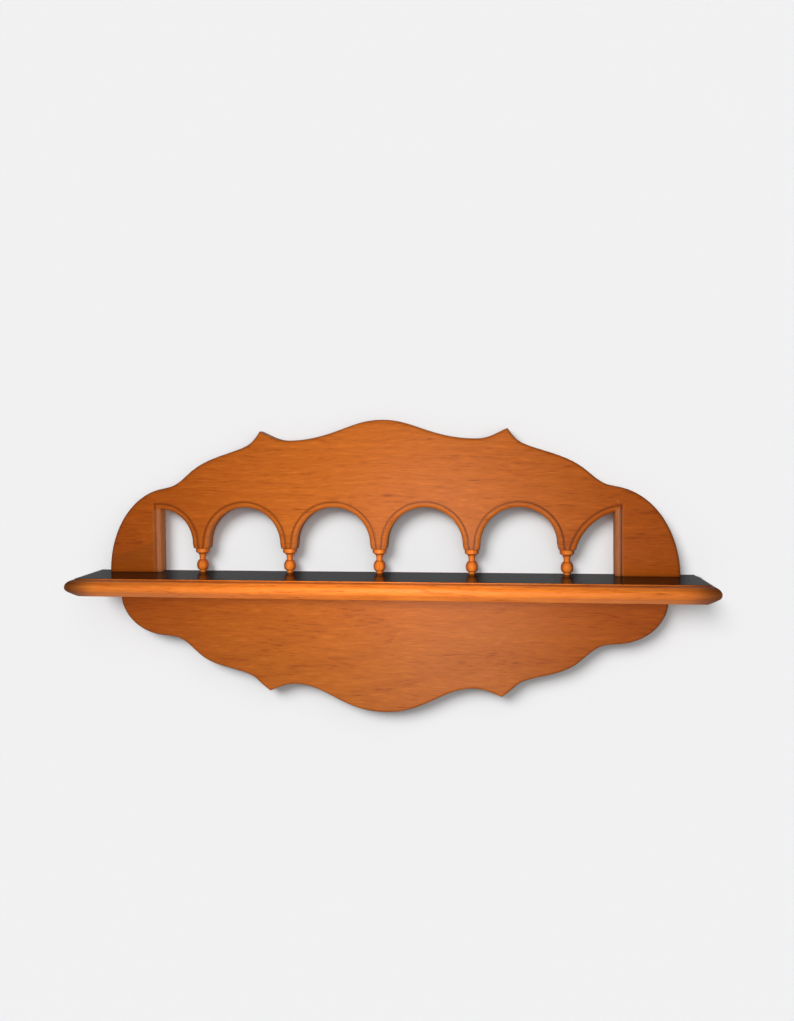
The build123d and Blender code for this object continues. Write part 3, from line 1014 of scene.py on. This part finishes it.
@dataclass
class SpindleRow:
    """The five turned spindles that carry the arcade."""

    first_x: float = -0.2317
    pitch: float = 0.1136
    count: int = 5
    centre_y: float = -0.009525
    segments: int = 64
    height: float = 0.0305
    foot_radius: float = 0.0043
    foot_height: float = 0.0026
    foot_edge: float = 0.0002
    ball_radius: float = 0.0075
    ball_height: float = 0.0084
    ball_top_ease: float = 1.45
    ball_foot_ease: float = 1.05
    ball_rows: int = 25
    shoulder_radius: float = 0.0041
    shoulder_height: float = 0.0158
    waist_radius: float = 0.0039
    waist_rows: int = 10
    throat_radius: float = 0.0048
    flare: Span = (0.0017, 0.0013)
    flare_rows: int = 4
    cap_cone: float = 0.0025
    cap_radius: float = 0.0085
    cap_thickness: float = 0.0054
    cap_edge: float = 0.0004
    cap_edge_rows: int = 4
    cap_round: float = 0.0015
    cap_round_rows: int = 6
    tenon_radius: float = 0.0032
    tenon_length: float = 0.0090
    tenon_chamfer: float = 0.0005
    tenon_top: float = -0.0001

    def build(self, finish: LacqueredWood) -> None:
        """Turns the row.

        Args:
            finish: the spindles' wood.
        """
        places = [(self.first_x + self.pitch * n, self.centre_y, 0.0) for n in range(self.count)]
        nodes = tuple(f"spindle_{n + 1}" for n in range(self.count))
        row = TurnedSet(
            "spindle_row", "spindle_wood", nodes, self.profile(), places, segments=self.segments
        )
        row.build(finish.make())

    def profile(self) -> Outline:
        """Half the spindle's outline.

        Returns:
            Its points as radius and height, from the foot's tenon to the head's.
        """
        low, high = -self.tenon_length, self.height + self.tenon_length
        chamfer, tenon = self.tenon_chamfer, self.tenon_radius
        under_cap = self.height - self.cap_thickness
        throat = (self.throat_radius, under_cap - self.cap_cone)
        shoulder = (self.shoulder_radius, self.shoulder_height)
        waist = (self.waist_radius, (self.shoulder_height + throat[1]) / 2)
        flare = (throat[0] + self.flare[0], throat[1] + self.flare[1])
        points = [(0.0, low), (tenon - chamfer, low), (tenon, low + chamfer), (tenon, self.tenon_top)]
        points += [(self.foot_radius - self.foot_edge, 0.0), (self.foot_radius, self.foot_edge)]
        points += [(self.foot_radius, self.foot_height), *self.rounded_ball()]
        points += bow(shoulder, waist, throat, self.waist_rows)
        points += bow(throat, flare, (self.cap_radius, under_cap), self.flare_rows)
        for step in range(self.cap_edge_rows + 1):
            angle = math.radians(90) * step / self.cap_edge_rows
            out, up = self.cap_edge * (1 - math.sin(angle)), self.cap_edge * (1 - math.cos(angle))
            points.append((self.cap_radius - out, under_cap + up))
        for step in range(self.cap_round_rows + 1):
            angle = math.radians(90) * step / self.cap_round_rows
            out, down = self.cap_round * (1 - math.cos(angle)), self.cap_round * (1 - math.sin(angle))
            points.append((self.cap_radius - out, self.height - down))
        points += [(tenon, self.height), (tenon, high - chamfer), (tenon - chamfer, high), (0.0, high)]
        return points

    def rounded_ball(self) -> Outline:
        """The ball between foot and shoulder, as a curve that bulges to its widest.

        Returns:
            The ball's points, from just above the foot to just below the shoulder.
        """
        points = []
        for number in range(1, self.ball_rows):
            angle = math.pi * number / self.ball_rows - math.pi / 2
            if angle < 0:
                end_radius, ease = self.foot_radius, self.ball_foot_ease
                reach = self.ball_height - self.foot_height
            else:
                end_radius, ease = self.shoulder_radius, self.ball_top_ease
                reach = self.shoulder_height - self.ball_height
            radius = end_radius + (self.ball_radius - end_radius) * math.cos(angle) ** ease
            points.append((radius, self.ball_height + reach * math.sin(angle)))
        return points


@dataclass(frozen=True)
class ScrewSize:
    """Sizes of one kind of countersunk wood screw.

    The thread takes shares of its length and radius, starts at a share of its point and runs out over
    a share of its own depth. The slot is cut a few head radii long, right across the head.
    """

    shank_radius: float
    head_radius: float
    length: float
    point: float
    thread_pitch: float
    thread_share: float = 0.66
    thread_depth_share: float = 0.28
    head_angle: float = 82.0
    slot_width: float = 0.0009
    slot_depth: float = 0.0007
    tip_share: float = 0.15
    tip_rise: float = 0.04
    tip_ease: float = 0.8
    fewest_tip_rows: int = 8
    fewest_rows: int = 12
    rows_per_lap: int = 9
    thread_start: float = 0.02
    run_out: float = 0.6
    slot_reach: float = 3.0
    edge: float = 0.0001
    segments: int = 28
    seed: int = 11
    sharp_angle: float = 30.0


@dataclass
class ScrewSet:
    """Countersunk wood screws with a slotted head, a shank and a cut thread."""

    name: str
    nodes: tuple[str, ...]
    places: list[Place]
    tilt: Place
    size: ScrewSize

    def build(self, material: Material) -> None:
        """Cuts the screws.

        Args:
            material: their plating.
        """
        size = self.size
        thread_top = -size.length * (1 - size.thread_share)
        screws = TurnedSet(
            self.name,
            "screw_steel",
            self.nodes,
            self.profile(thread_top),
            self.places,
            tilt=self.tilt,
            segments=size.segments,
            seed=size.seed,
            sharp_angle=size.sharp_angle,
            thread_depth=size.thread_depth_share * size.shank_radius,
            thread_pitch=size.thread_pitch,
            thread_from=-size.length + size.thread_start * size.point,
            thread_to=thread_top,
            slot_size=(size.slot_reach * size.head_radius, size.slot_width, size.slot_depth),
        )
        screws.build(material)

    def profile(self, thread_top: float) -> Outline:
        """Half the screw's outline, with the thread's root in place of the thread.

        Args:
            thread_top: the height at which the thread ends.

        Returns:
            Its points as radius and height, from the tip to the top of the head.
        """
        size, tip, edge = self.size, -self.size.length, self.size.edge
        shank, rim = size.shank_radius, size.head_radius
        head = (rim - shank) / math.tan(math.radians(size.head_angle / 2))
        depth = size.thread_depth_share * shank
        root = shank - depth
        points = [(0.0, tip), (size.tip_share * root, tip + size.tip_rise * size.point)]
        rows = max(size.fewest_tip_rows, round(size.point / size.thread_pitch * size.rows_per_lap))
        for share in (n / rows for n in range(1, rows + 1)):
            swell = size.tip_share + (1 - size.tip_share) * share**size.tip_ease
            points.append((root * swell, tip + size.point * (size.tip_rise + (1 - size.tip_rise) * share)))
        straight = thread_top - tip - size.point
        rows = max(size.fewest_rows, round(straight / size.thread_pitch * size.rows_per_lap))
        points += [(root, tip + size.point + straight * n / rows) for n in range(1, rows + 1)]
        points += [(shank, thread_top + size.run_out * depth), (shank, -head - 2 * edge)]
        points += [(shank + edge, -head)]
        points += [(rim - edge / 2, -2 * edge), (rim, -edge), (rim - edge, 0.0), (0.0, 0.0)]
        return points


@dataclass
class Fasteners:
    """The screws of the hanger plates, the screws up through the shelf, and the hidden dowels."""

    plate_x: float = 0.2032
    plate_z: float = 0.112
    plate_screw_step: float = 0.016
    plate_back: float = -0.0003
    plate_screw: ScrewSize = ScrewSize(0.00145, 0.0028, 0.012, 0.0026, 0.00105)
    panel_middle: float = -0.009525
    shelf_underside: float = -0.0222
    shelf_screw_x: Span = (0.2982, 0.3354)
    shelf_screw: ScrewSize = ScrewSize(0.0021, 0.0042, 0.038, 0.004, 0.0018)
    dowel_count: int = 6
    dowel_pitch: float = 0.106
    dowel_radius: float = 0.004
    dowel_top: float = -0.0102
    dowel_length: float = 0.032
    dowel_chamfer: float = 0.0008
    dowel_rows: int = 9
    dowel_segments: int = 72
    dowel_seed: int = 3
    dowel_flutes: int = 18
    flute_depth: float = 0.00035

    def build(self, plating: ZincSteel, dowel_wood: LacqueredWood) -> None:
        """Makes all the fasteners.

        Args:
            plating: the screws' finish.
            dowel_wood: the dowels' finish.
        """
        sides = (-1, 1)
        plate_z = [self.plate_z + end * self.plate_screw_step for end in sides]
        plate_places = [(side * self.plate_x, self.plate_back, z) for side in sides for z in plate_z]
        shelf_x = [side * x for side in sides for x in self.shelf_screw_x]
        shelf_places = [(x, self.panel_middle, self.shelf_underside) for x in shelf_x]
        into_wood = (math.radians(-90), 0.0, 0.0)
        upward = (math.radians(180), 0.0, 0.0)
        sets = (
            ScrewSet("hanger_screw_set", ("hanger_screws",), plate_places, into_wood, self.plate_screw),
            ScrewSet("shelf_screw_set", ("shelf_screws",), shelf_places, upward, self.shelf_screw),
        )
        for screws in sets:
            screws.build(plating.make())
        self.build_dowels(dowel_wood)

    def build_dowels(self, finish: LacqueredWood) -> None:
        """Makes the fluted dowels.

        Args:
            finish: their wood.
        """
        middle = (self.dowel_count - 1) / 2
        foot = self.dowel_top - self.dowel_length
        along = [self.dowel_pitch * (n - middle) for n in range(self.dowel_count)]
        places = [(x, self.panel_middle, foot) for x in along]
        edge, radius, length = self.dowel_chamfer, self.dowel_radius, self.dowel_length
        heights = [edge + (length - 2 * edge) * n / self.dowel_rows for n in range(self.dowel_rows + 1)]
        points = [(0.0, 0.0), (radius - edge, 0.0), *((radius, height) for height in heights)]
        points += [(radius - edge, length), (0.0, length)]
        dowels = TurnedSet(
            "dowel_set",
            "dowel_wood",
            ("lower_panel_dowels",),
            points,
            places,
            segments=self.dowel_segments,
            seed=self.dowel_seed,
            flutes=self.dowel_flutes,
            flute_depth=self.flute_depth,
        )
        dowels.build(finish.make())


@dataclass
class Woodwork:
    """The three boards and the two hanger plates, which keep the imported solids' shapes."""

    shelf: ShelfWood
    arcade: ArcadeWood
    lower: PanelWood
    plates: ZincSteel

    def dress(self) -> None:
        """Puts each finish on its solids."""
        put_on("shelf_board", self.shelf.make())
        put_on("upper_panel", self.arcade.make())
        put_on("lower_panel", self.lower.make())
        plating = self.plates.make()
        for side in ("left", "right"):
            put_on("hanger_plate_" + side, plating)


@dataclass(frozen=True)
class Lamp:
    """One lamp: where it hangs, what it points at, how broad and how strong it is.

    An area lamp's power is in watts and its breadth in metres, and it is as tall as it is broad where
    no height is given. A sun has its breadth in degrees.
    """

    name: str
    place: Place
    target: Place
    breadth: float
    power: float
    height: float = 0.0
    is_sun: bool = False
    seen_in_gloss: bool = True

    def hang(self) -> Thing:
        """Puts the lamp in the scene.

        Returns:
            The lamp.
        """
        light = bpy.data.lights.new(self.name, "SUN" if self.is_sun else "AREA")
        light.energy = self.power
        if self.is_sun:
            light.angle = math.radians(self.breadth)
        else:
            light.shape = "ELLIPSE"
            light.size = self.breadth
            light.size_y = self.height or self.breadth
        hung = show(self.name, light)
        hung.location = self.place
        aim = Vector(self.target) - Vector(self.place)
        hung.rotation_euler = aim.to_track_quat("-Z", "Y").to_euler()
        hung.visible_glossy = self.seen_in_gloss
        return hung


def choose(name: str, objects: Iterable[Thing], reach: Reach) -> bpy.types.Collection:
    """Makes the collection that tells a lamp what it lights or what blocks it.

    Args:
        name: its name.
        objects: what it holds.
        reach: whether the lamp takes in only these, or all but these.

    Returns:
        The collection.
    """
    chosen = bpy.data.collections.new(name)
    for thing in objects:
        chosen.objects.link(thing)
    for entry in chosen.collection_objects:
        entry.light_linking.link_state = reach.value
    return chosen


def hang_sheet(name: str, corners: list[Place], paint: Colour | None = None) -> Thing:
    """Hangs a flat sheet that isn't part of the shelf.

    Args:
        name: the sheet's name.
        corners: its four corners, in order.
        paint: its colour, where it is painted.

    Returns:
        The sheet.
    """
    mesh = bpy.data.meshes.new(name)
    mesh.from_pydata(corners, [], [(0, 1, 2, 3)])
    if paint:
        mesh.materials.append(PlainPaint(name + "_paint", paint).make())
    sheet = show(name, mesh)
    return sheet


@dataclass
class Studio:
    """The wall, the floor, the lamps, the surroundings and the camera.

    The flag is a slanting sheet inside the board that only shadow rays meet. It has the depth and
    the height of its front and back edges, and gives the board as close a shadow as the panels have.
    """

    camera_place: Place = (0.123783, -1.087838, 0.158742)
    yaw: float = 8.1897
    pitch: float = -1.6453
    roll: float = -0.6686
    clip_start: float = 0.01
    wall_gap: float = 0.001
    wall_reach: float = 3.0
    floor_height: float = -1.15
    wall_paint: Colour = (0.83, 0.83, 0.835)
    floor_paint: Colour = (0.80, 0.80, 0.80)
    ambient: float = 0.17
    room_gloss: Span = (0.04, 0.8)
    room_gloss_edge: Span = (-0.1, 0.25)
    backdrop_level: float = 0.85
    fill: Lamp = Lamp(
        "fill_lamp", (0.005, -0.48, 0.05), (-0.005, 0.0, 0.0), 0.20, 2.25, seen_in_gloss=False
    )
    edge_fill: Lamp = Lamp(
        "edge_lamp", (0.0, -0.80, -0.55), (0.0, -0.08, -0.01), 1.10, 2.6, height=0.30, seen_in_gloss=False
    )
    key: Lamp = Lamp("key_lamp", (0.03, -1.60, -0.28), (0.07, 0.0, 0.0), 0.45, 1.7, height=0.90)
    back: Lamp = Lamp("back_lamp", (0.4, 1.7, 0.9), (0.0, 0.0, 0.0), 1.2, 5.0)
    wall_sun: Lamp = Lamp("wall_sun", (-0.62, -1.0, 0.71), (0.0, 0.0, 0.0), 32.0, 2.55, is_sun=True)
    wall_sky: Lamp = Lamp("wall_sky", (0.40, -1.0, 0.50), (0.0, 0.0, 0.0), 90.0, 1.133, is_sun=True)
    flag_reach: float = 0.378
    flag_front: Span = (-0.044, -0.0190)
    flag_back: Span = (-0.002, -0.0010)

    def build(self) -> None:
        """Sets up everything that isn't part of the shelf."""
        bpy.context.scene.view_settings.view_transform = "Standard"
        self.place_camera()
        side, gap, low = self.wall_reach, self.wall_gap, self.floor_height
        upright = [(-side, gap, low), (side, gap, low), (side, gap, side), (-side, gap, side)]
        flat = [(-side, -2 * side, low), (side, -2 * side, low), (side, gap, low), (-side, gap, low)]
        wall = hang_sheet("wall", upright, self.wall_paint)
        floor = hang_sheet("floor", flat, self.floor_paint)
        self.light_room()
        self.hang_lamps([wall, floor], [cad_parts["shelf_board"]])

    def hang_lamps(self, backdrop: list[Thing], board: list[Thing]) -> None:
        """Hangs the lamps, and the flag that shades the wall for the board.

        Args:
            backdrop: the wall and the floor.
            board: the shelf board.
        """
        lit = (
            (self.edge_fill, board, Reach.ONLY),
            (self.fill, backdrop, Reach.ALL_BUT),
            (self.key, backdrop, Reach.ALL_BUT),
        )
        for lamp, objects, reach in lit:
            lamp.hang().light_linking.receiver_collection = choose(lamp.name + "_lights", objects, reach)
        self.back.hang()
        self.hang_flag()
        for lamp in (self.wall_sun, self.wall_sky):
            linking = lamp.hang().light_linking
            linking.receiver_collection = choose(lamp.name + "_lights", backdrop, Reach.ONLY)
            linking.blocker_collection = choose(lamp.name + "_shadows", board, Reach.ALL_BUT)

    def hang_flag(self) -> None:
        """Hangs the flag, which no ray but a shadow's meets."""
        corners = [(side * self.flag_reach, *self.flag_front) for side in (-1.0, 1.0)]
        corners += [(side * self.flag_reach, *self.flag_back) for side in (1.0, -1.0)]
        flag = hang_sheet("shadow_flag", corners)
        for ray in ("camera", "diffuse", "glossy", "transmission"):
            setattr(flag, "visible_" + ray, False)

    def place_camera(self) -> None:
        """Puts the camera where the photograph was taken."""
        yaw, pitch, roll = (math.radians(angle) for angle in (self.yaw, self.pitch, self.roll))
        flat = math.cos(pitch)
        ahead = Vector((-math.sin(yaw) * flat, math.cos(yaw) * flat, math.sin(pitch)))
        level = Vector((math.cos(yaw), math.sin(yaw), 0.0))
        above = level.cross(ahead)
        right = level * math.cos(roll) + above * math.sin(roll)
        up = -level * math.sin(roll) + above * math.cos(roll)
        lens = bpy.data.cameras.new("camera")
        lens.sensor_fit = "AUTO"
        lens.sensor_width = FILM_WIDTH
        lens.lens = FOCAL_LENGTH * FILM_WIDTH / PICTURE_HEIGHT
        lens.shift_x = (PICTURE_WIDTH / 2 - OPTICAL_CENTRE_X) / PICTURE_HEIGHT
        lens.shift_y = (OPTICAL_CENTRE_Y - PICTURE_HEIGHT / 2) / PICTURE_HEIGHT
        lens.clip_start = self.clip_start
        camera = show("camera", lens)
        turned = Matrix((right, up, -ahead)).transposed().to_4x4()
        camera.matrix_world = Matrix.Translation(self.camera_place) @ turned
        bpy.context.scene.camera = camera

    def light_room(self) -> None:
        """Gives the room a pale, even glow, dimmer in what the lacquer mirrors."""
        world = bpy.data.worlds.new("room")
        world.use_nodes = True
        world.node_tree.nodes.clear()
        recipe = Recipe(world.node_tree)
        path = recipe.add("ShaderNodeLightPath").outputs
        toward = recipe.axis(recipe.add("ShaderNodeTexCoord").outputs["Generated"], "Y")
        mirrored = recipe.rise(toward, *self.room_gloss_edge, *self.room_gloss)
        shiny = recipe.sum("MAXIMUM", path["Is Glossy Ray"], path["Is Transmission Ray"])
        level = recipe.blend_numbers(shiny, self.ambient, mirrored)
        level = recipe.blend_numbers(path["Is Camera Ray"], level, self.backdrop_level)
        glow = recipe.add("ShaderNodeBackground", {"Color": WHITE, "Strength": level})
        recipe.add("ShaderNodeOutputWorld", {"Surface": glow.outputs[0]})
        bpy.context.scene.world = world


def main() -> None:
    """Builds every sub-assembly in order."""
    logging.basicConfig(level=logging.INFO, format="%(name)s: %(message)s")
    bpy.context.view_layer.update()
    Woodwork(
        shelf=ShelfWood(
            "shelf_wood_lacquer",
            pale=(0.90, 0.270, 0.036),
            middle=(0.78, 0.190, 0.019),
            dark=(0.44, 0.078, 0.006),
            ring_strength=0.16,
            mottle_strength=0.42,
            heart=(0.0, 0.02, -0.16),
            shift=(1.7, 0.4, 0.2),
        ),
        arcade=ArcadeWood(
            "arcade_wood_lacquer",
            pale=(0.66, 0.170, 0.018),
            middle=(0.53, 0.124, 0.0105),
            dark=(0.28, 0.049, 0.004),
        ),
        lower=PanelWood(
            "lower_panel_wood_lacquer",
            pale=(0.62, 0.168, 0.019),
            middle=(0.49, 0.122, 0.0110),
            dark=(0.28, 0.049, 0.004),
            heart=(0.0, 0.16, -0.09),
            shift=(3.1, 0.0, 0.0),
        ),
        plates=ZincSteel("hanger_zinc", tint=(0.66, 0.65, 0.60)),
    ).dress()
    SpindleRow().build(
        SpindleWood(
            "spindle_wood_lacquer",
            pale=(0.98, 0.300, 0.045),
            middle=(0.92, 0.225, 0.026),
            dark=(0.42, 0.072, 0.006),
            heart=(0.0, 0.03, 0.0),
            ring_gap=0.004,
            lacquer_roughness=0.20,
            fibre_strength=0.20,
        )
    )
    Fasteners().build(
        ZincSteel("screw_zinc", tint=(0.70, 0.69, 0.64), roughness=0.30),
        BareWood(
            "dowel_beech",
            pale=(0.66, 0.46, 0.27),
            middle=(0.55, 0.36, 0.20),
            dark=(0.36, 0.21, 0.11),
            grain=Grain.UPRIGHT,
            heart=(0.0, 0.03, 0.0),
            ring_gap=0.003,
        ),
    )
    Studio().build()


if __name__ == "__main__":
    main()
